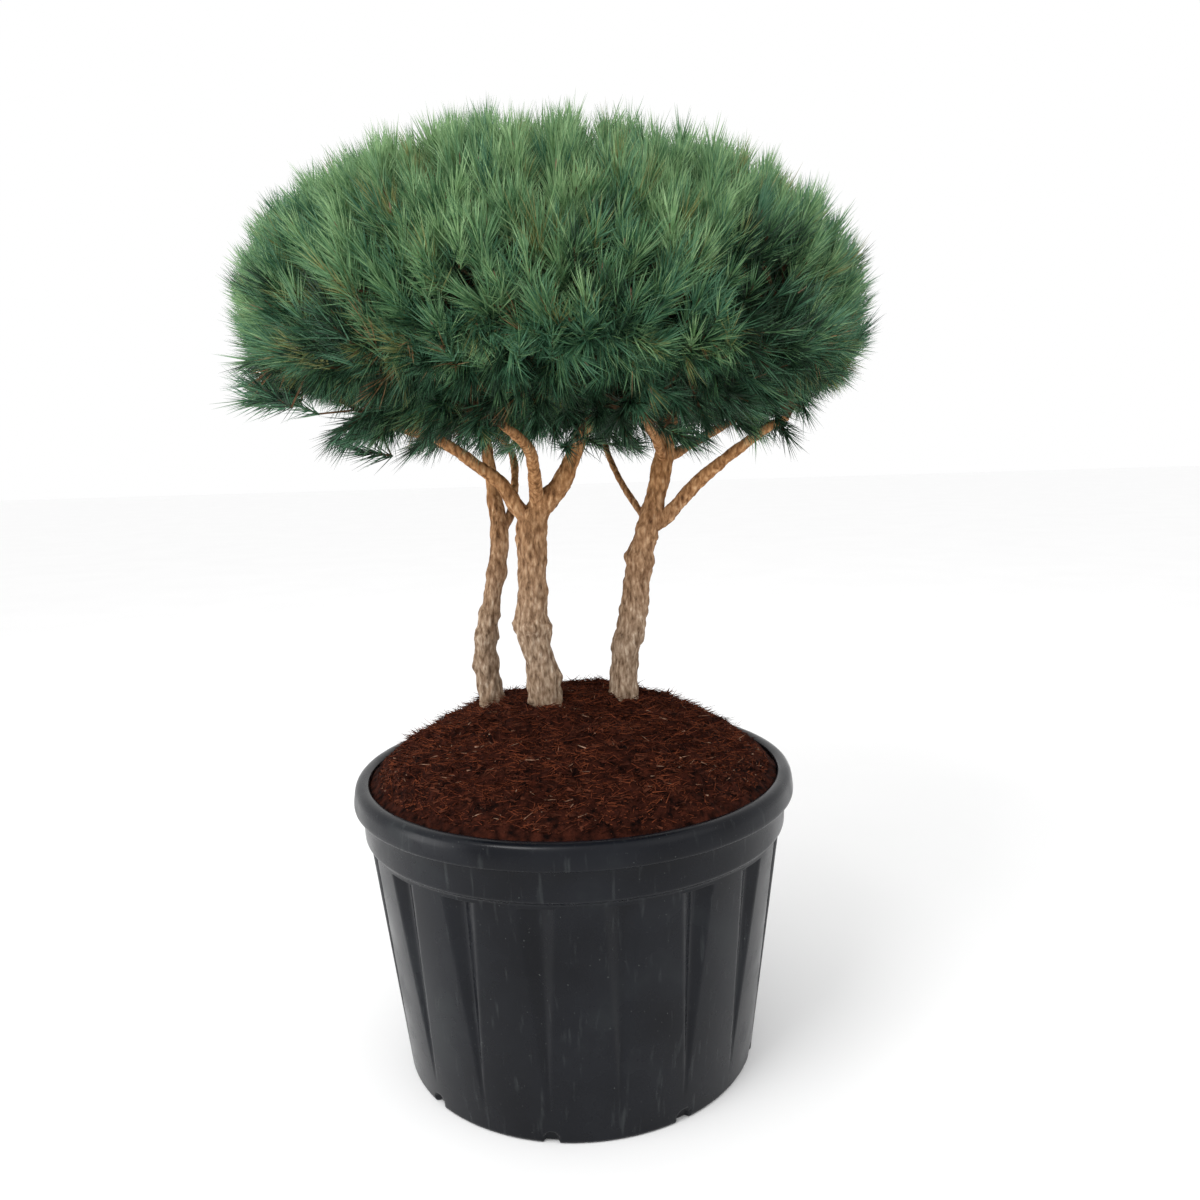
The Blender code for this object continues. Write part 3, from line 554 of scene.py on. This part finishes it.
def barkFinish():
    # grey-brown bark low down and orange bark above, both by one grain, with darker cracks between flakes
    s = barkSet
    finish, nodes, links, shader, place = newFinish("pineBark", s["roughness"], s["gloss"])
    parts = nodes.new("ShaderNodeSeparateXYZ")
    links.new(place, parts.inputs[0])
    rise = nodes.new("ShaderNodeMapRange")
    rise.inputs["From Min"].default_value, rise.inputs["From Max"].default_value = s["turn"]
    links.new(parts.outputs["Z"], rise.inputs["Value"])
    flakes = nodes.new("ShaderNodeTexVoronoi")
    flakes.feature = "F1"
    flakes.inputs["Scale"].default_value = 1.0
    links.new(stretched(nodes, links, place, s["flakeStretch"]), flakes.inputs["Vector"])
    grain = noiseNode(nodes, links, stretched(nodes, links, place, s["grainStretch"]), *s["grainNoise"])
    low = rampNode(nodes, links, grain, s["low"])
    high = rampNode(nodes, links, grain, s["high"])
    both = mixNode(nodes, links, rise.outputs["Result"], low, high)
    cracks = rampNode(nodes, links, flakes.outputs["Distance"], s["cracks"])
    links.new(mixNode(nodes, links, 1.0, both, cracks, "MULTIPLY"), shader.inputs["Base Color"])
    bumpNode(nodes, links, shader, grain, *s["bump"])
    return finish


def smoothPath(waypoints, step):
    # Catmull-Rom curve through the waypoints, read at even steps
    way = np.array(waypoints)
    padded = np.vstack([2 * way[0] - way[1], way, 2 * way[-1] - way[-2]])
    out = []
    for a, b, c, d in zip(padded, padded[1:], padded[2:], padded[3:]):
        t = np.linspace(0, 1, max(2, int(np.linalg.norm((c - b)[:3]) / step)), endpoint=False)[:, None]
        out.append(0.5 * (2 * b + (c - a) * t + (2 * a - 5 * b + 4 * c - d) * t ** 2
                          + (3 * b - a - 3 * c + d) * t ** 3))
    return np.vstack(out + [way[-1:]])


def makeLimb(name, waypoints, lumps, finish, isTrunk):
    # a ring of points carried along the path; its radius has knots, plates of bark and fine grain
    s = limbSet
    path = smoothPath(waypoints, s["step"])
    centre, radius = path[:, :3], path[:, 3].copy()
    if isTrunk:
        radius += s["foot"] * np.exp(-(centre[:, 2] - centre[0, 2]) / s["footFade"])
    for height, extra in lumps:
        radius += extra * np.exp(-((centre[:, 2] - height) / s["knotFade"]) ** 2)
    along = unit(np.gradient(centre, axis=0))
    if isTrunk:
        along[0] = (0, 0, 1)  # the foot is cut level
    side = unit(np.cross(along, [[0.15, 1.0, 0.1]]))
    other = np.cross(along, side)
    around = math.tau * np.arange(s["around"]) / s["around"]
    spokes = (side[:, None] * np.cos(around)[None, :, None]
              + other[:, None] * np.sin(around)[None, :, None])
    skin = centre[:, None] + spokes * radius[:, None, None]
    drawn = skin * [1.0, 1.0, s["upright"]]
    (plateShare, *plateNoise), (grainShare, *grainNoise), (bulgeShare, *bulgeNoise) = (
        s["plates"], s["grain"], s["bulge"])
    relief = plateShare * (np.abs(waveNoise(drawn, *plateNoise)) - 0.5)
    relief = relief + grainShare * waveNoise(drawn, *grainNoise) + bulgeShare * waveNoise(skin, *bulgeNoise)
    skin = centre[:, None] + spokes * (radius[:, None] * (s["bare"] + relief))[:, :, None]
    points = np.vstack([skin.reshape(-1, 3), centre[:1], centre[-1:]])
    faces = closedRings(len(centre), s["around"])
    meshPiece(name + "_bark", points, faces, finish, (name,), True)


def makeLimbs():
    bark = barkFinish()
    for name, waypoints in trunks.items():
        makeLimb(name, waypoints, knots[name], bark, True)
    for name, waypoints in boughs.items():
        makeLimb(name, waypoints, (), bark, False)
    print("limbs done")


# Foliage: the same masses and the same dome as the solids, carried to finer twigs
masses = {
    # the limb that carries the mass, and the mass's middle
    "foliage_top_left": ("trunk_left", (-0.170, 0.040)),
    "foliage_top_middle": ("trunk_middle", (0.030, -0.060)),
    "foliage_top_right": ("trunk_right", (0.210, 0.060)),
    "foliage_right": ("bough_right_low", (0.410, -0.170)),
    "foliage_right_back": ("bough_right_back", (0.340, 0.250)),
    "foliage_right_front": ("bough_right_front", (0.130, -0.380)),
    "foliage_back": ("bough_right_thin", (0.070, 0.410)),
    "foliage_left_front": ("bough_middle_left", (-0.380, -0.170)),
    "foliage_front": ("bough_middle_front", (-0.150, -0.370)),
    "foliage_left": ("bough_left_outer", (-0.410, 0.120)),
    "foliage_left_back": ("bough_left_back", (-0.230, 0.350)),
}
domeSet = dict(
    centre=1.296,
    radius=0.558,
    rise=0.322,
    drop=0.2465,
    power=2.6,
    upPower=2.25,
    downPower=2.4,
    tilt=-0.038,
    floor=1.102,
    innerFloor=0.35,  # the floor of an inner dome is higher by this share of its inset
    underShare=0.55,  # shoots stand this much thinner under the dome
    tries=3.2,  # directions tried for each point kept
    farthest=1.2,
    halvings=26,
    slopeStep=1e-4,
    underBand=0.004,  # points this near the floor belong to the underside
    scatter=0.02,
    leastFacing=0.2,
)
shootSet = dict(
    outer=3950,
    inner=900,
    insets=(0.055, 0.15),
    tufts=1000,
    tuftReach=0.034,
    tuftDrop=0.017,
    tuftEdge=1.6,
    tuftLean=0.34,
    ragged=0.016,
    lumps=0.012,
    lumpNoise=(17.0, 21),  # scale and seed
    lumpRange=(-1.6, 0.7),
    lumpSink=0.4,
    lowWay=(0.9, -0.42),  # outward and upward share under the dome
    stray=0.17,
    lift=0.75,  # how far the shoots turn up
    liftStart=1.15,  # none up to this height, and all of it a band above
    liftBand=0.12,
)
pocketSet = dict(
    between=("foliage_right", "foliage_right_front"),
    shift=0.028,
    width=0.075,
    full=1.3,  # above 1, so that the middle of the pocket is wholly bare
    top=1.42,
    fade=0.05,
    # shoots where the pocket's share passes this take the deep tone: painted shade in the gap
    dark=0.15,
)
shoulderSet = dict(push=0.023, lift=0.15, start=0.22, inward=0.20, foot=1.24, head=1.58, band=0.10)
looseSet = dict(
    spray=17,
    sprayBox=((-0.570, -0.500), (-0.22, -0.03), (1.165, 1.230)),
    sprayWay=(-1.0, -0.25, -0.05),
    sprayStray=0.22,
    hanging=120,
    reach=0.44,
    heights=(1.045, 1.100),
    outward=0.8,
    fall=-0.75,
    stray=0.3,
)
needleSet = dict(
    length=0.058,
    width=0.00130,
    axis=0.058,  # length of shoot that bears needles
    sunk=0.86,  # the foremost needles start this share of their length behind the shoot's end
    crowding=0.8,
    lean=(0.30, 0.80),  # share of the spread at the tip, and what is added further back
    leanStray=(0.55, 1.25),
    lengthStray=(0.78, 1.08),
    widthStray=(0.8, 1.2),
    sag=0.05,
    finish=(75.0, 0.45),  # scale of the pattern and roughness
    gloss=0.30,
    shown=(37, 0.78),  # needles a shoot, and how wide they spread
    # second needles of a shoot, mostly in a lighter tone as a painted highlight
    lit=(17, 0.66),
    hidden=(30, 0.95),
)
twigSet = dict(
    forks=7,
    forkShare=0.45,  # of the way from the limb's tip to the foot of a shoot
    lesser=46,
    lesserShare=0.62,
    back=0.8,
    limbShare=0.8,  # of the limb's radius at its tip
    forkEnd=0.0042,
    lesserEnds=(0.0040, 0.0026),  # radius at each end
    footEnds=(0.0024, 0.0018),
    headEnds=(0.0020, 0.0015),
    finish=((0.035, 0.020, 0.012), (0.150, 0.085, 0.045), 60.0, 0.85),
)
budSet = dict(
    share=0.16,
    sunk=0.88,
    length=(0.012, 0.018),
    width=0.0028,
    finish=((0.22, 0.12, 0.075), (0.48, 0.30, 0.22), 90.0, 0.7),
)
tones = {
    # the first tone is painted light, for the top of the crown and for painted highlights in sprays; the deep
    # tone is painted shade, under the crown, in the pocket and inside the crown
    "needleLit": ((0.150, 0.290, 0.120), (0.330, 0.500, 0.250)),
    "needleMid": ((0.070, 0.175, 0.075), (0.180, 0.330, 0.160)),
    "needleBlue": ((0.035, 0.120, 0.066), (0.120, 0.265, 0.150)),
    "needleShade": ((0.006, 0.020, 0.010), (0.030, 0.075, 0.036)),
    "needleOlive": ((0.130, 0.150, 0.045), (0.300, 0.310, 0.120)),
    "needleDead": ((0.170, 0.080, 0.032), (0.400, 0.240, 0.115)),
}
light, middling, blue, deep, olive, dead = range(len(tones))
# painted light and shade: high shoots take the light tone and low shoots the deep tone, as light falls from
# above
toneSet = dict(
    foot=1.12,  # tones go by the height above this, as a share of the reach
    reach=0.46,
    stray=0.25,
    cloud=(0.14, 9.0, 23),  # share, scale, seed
    steps=(0.88, 0.50, 0.16),  # above these a shoot is light, middling or blue, and below them all deep
    olive=0.03,
    # the lighter second needles are painted highlights
    oneLighter=0.25,  # above this chance a shoot's second needles are one tone lighter
    twoLighter=0.70,
    oliveMore=(0.90, 0.75),  # above this chance and below this height share
    deadMore=(0.96, 0.45),
    innerDead=0.10,
)


def domeValue(points, inset):
    # below 1 inside the dome: the sum of the powers of three shares, of its radius, its rise and its drop
    s = domeSet
    rise = points[:, 2] - s["centre"] - s["tilt"] * points[:, 0]
    across = np.hypot(points[:, 0], points[:, 1]) / (s["radius"] - inset)
    above = np.clip(rise, 0, None) / (s["rise"] - inset)
    below = np.clip(-rise, 0, None) / (s["drop"] - inset)
    return across ** s["power"] + above ** s["upPower"] + below ** s["downPower"]


def domePoints(count, inset):
    # golden spiral of directions, each carried out to the dome by halving, then thinned to even area
    s = domeSet
    total = int(count * s["tries"])
    index = np.arange(total) + 0.5
    up = 1 - 2 * index / total
    around = math.pi * (1 + math.sqrt(5)) * index
    flat = np.sqrt(1 - up ** 2)
    ways = np.stack([flat * np.cos(around), flat * np.sin(around), up], axis=1)
    ways = unit(ways + rng.normal(0, s["scatter"], ways.shape))
    origin = np.array([0.0, 0.0, s["centre"]])
    floor = s["floor"] + inset * s["innerFloor"]
    near, far = np.zeros(total), np.full(total, s["farthest"])
    for _ in range(s["halvings"]):
        middle = (near + far) / 2
        points = origin + ways * middle[:, None]
        inside = (domeValue(points, inset) < 1) & (points[:, 2] > floor)
        near, far = np.where(inside, middle, near), np.where(inside, far, middle)
    points = origin + ways * near[:, None]
    step = s["slopeStep"]
    slopes = [domeValue(points + step * axis, inset) - domeValue(points - step * axis, inset)
              for axis in np.eye(3)]
    normal = np.stack(slopes, axis=1)
    normal /= np.linalg.norm(normal, axis=1)[:, None]
    under = points[:, 2] < floor + s["underBand"]
    normal[under] = (0, 0, -1)
    area = near ** 2 / np.maximum((ways * normal).sum(1), s["leastFacing"])
    area[under] *= s["underShare"]
    kept = rng.uniform(0, 1, total) < area / area.sum() * count
    return points[kept], normal[kept], under[kept]


def shootWays(points, normal, under):
    # upright on top, outward and up on the side, outward and a little down below
    s = shootSet
    outward = unit(points * [1, 1, 0], 0.05)
    lift = s["lift"] * np.clip((points[:, 2] - s["liftStart"]) / s["liftBand"], 0, 1)
    ways = normal + lift[:, None] * [0, 0, 1]
    along, up = s["lowWay"]
    low = along * outward + [[0, 0, up]]
    ways = np.where(under[:, None], low, ways)
    return unit(ways + rng.normal(0, s["stray"], ways.shape))


def nearestMass(points):
    # number of the mass whose middle is nearest, seen from above
    middles = np.array([place for _, place in masses.values()])
    return np.argmin(((points[:, None, :2] - middles[None]) ** 2).sum(-1), axis=1)


def pocketShare(points):
    # falls with the distance from the upright plane between the right-hand lobe and the front one,
    # and counts only for those two lobes below the top
    s = pocketSet
    a, b = (np.array(masses[name][1]) for name in s["between"])
    off = np.abs((points[:, :2] - (a + b) / 2 + [s["shift"], 0.0]) @ (a - b)) / np.linalg.norm(a - b)
    own = np.isin(nearestMass(points), [list(masses).index(name) for name in s["between"]])
    low = np.clip((s["top"] - points[:, 2]) / s["fade"], 0, 1)
    return np.clip(s["full"] - off / s["width"], 0, 1) * own * low


def shoulderPush(points):
    # how far the left shoulder stands out: fading inward, and up and down
    s = shoulderSet
    away = np.clip((-points[:, 0] - s["start"]) / s["inward"], 0, 1)
    rising = np.clip((points[:, 2] - s["foot"]) / s["band"], 0, 1)
    falling = np.clip((s["head"] - points[:, 2]) / s["band"], 0, 1)
    return s["push"] * away * rising * falling


def looseShoots():
    # the spray low on the left, then single shoots hanging under the dome
    s = looseSet
    spray = np.stack([rng.uniform(*sides, s["spray"]) for sides in s["sprayBox"]], axis=1)
    sprayWays = np.array(s["sprayWay"]) + rng.normal(0, s["sprayStray"], spray.shape)
    away = s["reach"] * np.sqrt(rng.uniform(0.03, 1, s["hanging"]))
    angle = rng.uniform(0, math.tau, s["hanging"])
    height = rng.uniform(*s["heights"], s["hanging"])
    hanging = np.stack([away * np.cos(angle), away * np.sin(angle), height], axis=1)
    outward = hanging * [1, 1, 0] / away[:, None]
    hangingWays = outward * s["outward"] + [0, 0, s["fall"]] + rng.normal(0, s["stray"], hanging.shape)
    return np.vstack([spray, hanging]), np.vstack([sprayWays, hangingWays])


def outerShoots():
    # the dome's own points drawn in between tufts and where the pocket is, then the loose shoots
    s = shootSet
    points, normal, under = domePoints(s["outer"], 0.0)
    lumps = np.clip(waveNoise(points, *s["lumpNoise"]), *s["lumpRange"]) * s["lumps"]
    tufts = domePoints(s["tufts"], 0.0)[0]
    nearTuft = tufts[np.argmin(((points[:, None] - tufts[None]) ** 2).sum(-1), axis=1)]
    aside = (points - nearTuft) / s["tuftReach"]
    drop = s["tuftDrop"] * np.clip((aside ** 2).sum(1), 0, s["tuftEdge"])
    drop += rng.uniform(0, s["ragged"], len(points))
    points = points - normal * (s["lumps"] * s["lumpSink"] - lumps + drop)[:, None]
    points = points + shoulderPush(points)[:, None] * [-1.0, 0.0, shoulderSet["lift"]]
    pocket = pocketShare(points)
    keep = rng.uniform(0, 1, len(points)) > pocket
    points, normal, under, aside, pocket = points[keep], normal[keep], under[keep], aside[keep], pocket[keep]
    ways = shootWays(points, normal, under) + aside * s["tuftLean"]
    loosePoints, looseWays = looseShoots()
    more = len(loosePoints)
    shadedInPocket = np.concatenate([pocket > pocketSet["dark"], np.zeros(more, dtype=bool)])
    under = np.concatenate([under, np.ones(more, dtype=bool)])
    return np.vstack([points, loosePoints]), unit(np.vstack([ways, looseWays])), under, shadedInPocket


def innerShoots():
    # three smaller domes inside the first, in deep green as painted shade for the crown's inside, with some
    # dead needles
    s = shootSet
    points, ways, tone = [], [], []
    for inset in np.linspace(*s["insets"], 3):
        spots, normal, under = domePoints(s["inner"] // 3, inset)
        points.append(spots)
        ways.append(shootWays(spots, normal, under))
        # painted shade: the inner shoots take the deep tone, apart from the dead ones
        tone.append(np.where(rng.uniform(0, 1, len(spots)) < toneSet["innerDead"], dead, deep))
    return np.vstack(points), np.vstack(ways), np.concatenate(tone)


def dealTones(points, shadedInPocket):
    # painted light and shade: lighter towards the top and deep below, as light falls from above; tone also
    # changes by chance from spray to spray, and within a spray some needles are a painted highlight one or
    # two tones lighter, and some olive or dead
    s = toneSet
    share, *cloud = s["cloud"]
    rise = (points[:, 2] - s["foot"]) / s["reach"]
    draw = rise + rng.normal(0, s["stray"], len(points)) + share * waveNoise(points, *cloud)
    tone = np.select([draw > step for step in s["steps"]], [light, middling, blue], deep)
    # painted shade: the shoots left in the pocket take the deep tone
    tone[shadedInPocket] = deep
    chance = rng.uniform(0, 1, len(points))
    tone[chance < s["olive"]] = olive
    green = (tone > light) & (tone < olive)
    # painted highlight: most green shoots get second needles one tone lighter, some two; the olive and dead
    # needles are real
    highlightAndDeadTone = np.where(green & (chance > s["oneLighter"]), tone - 1, tone)
    lighter = chance > s["twoLighter"]
    highlightAndDeadTone[lighter] = np.maximum(tone[lighter] - 2, light)
    for (least, top), number in ((s["oliveMore"], olive), (s["deadMore"], dead)):
        highlightAndDeadTone[(chance > least) & (rise < top)] = number
    return tone, highlightAndDeadTone


def growNeedles(points, ways, each, spread):
    # needles stand all round the last stretch of each shoot, closer to its own direction near the tip
    s = needleSet
    count = len(points) * each
    tip = np.repeat(points, each, axis=0)
    way = np.repeat(ways, each, axis=0)
    back = rng.uniform(0, 1, count) ** s["crowding"]
    start = tip - way * (s["length"] * s["sunk"] + back * s["axis"])[:, None]
    lean = unit(np.cross(way, rng.normal(size=way.shape)))
    angle = spread * (s["lean"][0] + s["lean"][1] * back) * rng.uniform(*s["leanStray"], count)
    needle = way * np.cos(angle)[:, None] + lean * np.sin(angle)[:, None]
    needle[:, 2] -= s["sag"] * back
    length = s["length"] * rng.uniform(*s["lengthStray"], count)
    return spikes(start, unit(needle), length, s["width"] * rng.uniform(*s["widthStray"], count))


def growTwigs(name, tip, points, ways, finish):
    # from the limb's tip to forks, on to lesser forks, to the foot of every shoot and along the shoot
    s = twigSet
    back = needleSet["length"] * s["back"]
    feet = points - ways * (back + needleSet["axis"])
    heads = points - ways * back
    root, rootRadius = tip[:3], tip[3]
    forks = feet[rng.choice(len(feet), s["forks"], replace=False)]
    forks = root + (forks - root) * s["forkShare"]
    lesser = feet[rng.choice(len(feet), min(s["lesser"], len(feet)), replace=False)]
    parent = np.argmin(((lesser[:, None] - forks[None]) ** 2).sum(-1), axis=1)
    lesser = forks[parent] + (lesser - forks[parent]) * s["lesserShare"]
    holder = np.argmin(((feet[:, None] - lesser[None]) ** 2).sum(-1), axis=1)
    rootRows = np.repeat(root[None], len(forks), axis=0)
    twigPoints, twigFaces = joined([
        sticks(rootRows, forks, rootRadius * s["limbShare"], s["forkEnd"]),
        sticks(forks[parent], lesser, *s["lesserEnds"]),
        sticks(lesser[holder], feet, *s["footEnds"]),
        sticks(feet, heads, *s["headEnds"]),
    ])
    meshPiece(name + "_twigs", twigPoints, twigFaces, finish)


def makeFoliage():
    # every mass takes the shoots nearest to its middle: a piece for each tone of needle, its twigs, its buds
    n, b = needleSet, budSet
    points, ways, under, shadedInPocket = outerShoots()
    tone, highlightAndDeadTone = dealTones(points, shadedInPocket)
    inPoints, inWays, inTone = innerShoots()
    finishes = {toneName: mottledFinish(toneName, *pair, *n["finish"], gloss=n["gloss"])
                for toneName, pair in tones.items()}
    twigWood = mottledFinish("twigWood", *twigSet["finish"])
    budSkin = mottledFinish("budSkin", *b["finish"])
    owner, inOwner = nearestMass(points), nearestMass(inPoints)
    limbs = {**trunks, **boughs}
    for number, (name, (limb, _)) in enumerate(masses.items()):
        own, inOwn = owner == number, inOwner == number
        for toneNumber, toneName in enumerate(tones):
            shown = own & (tone == toneNumber)
            lit = own & (highlightAndDeadTone == toneNumber)
            hidden = inOwn & (inTone == toneNumber)
            needles, faces = joined([
                growNeedles(points[shown], ways[shown], *n["shown"]),
                growNeedles(points[lit], ways[lit], *n["lit"]),
                growNeedles(inPoints[hidden], inWays[hidden], *n["hidden"]),
            ])
            if len(needles):
                meshPiece(name + "_" + toneName, needles, faces, finishes[toneName])
        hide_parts(name)
        shoots = np.vstack([points[own], inPoints[inOwn]])
        growTwigs(name, np.array(limbs[limb][-1]), shoots, np.vstack([ways[own], inWays[inOwn]]), twigWood)
        budded = own & (rng.uniform(0, 1, len(points)) < b["share"]) & ~under
        start = points[budded] - ways[budded] * n["length"] * b["sunk"]
        length = rng.uniform(*b["length"], budded.sum())
        buds, faces = spikes(start, ways[budded], length, np.full(budded.sum(), b["width"]))
        meshPiece(name + "_buds", buds, faces, budSkin)
    print("foliage done", len(points), "shoots")


makeFloor()
makeLights()
makeCamera()
makePot()
makeMound()
makeFibres()
makeLimbs()
makeFoliage()
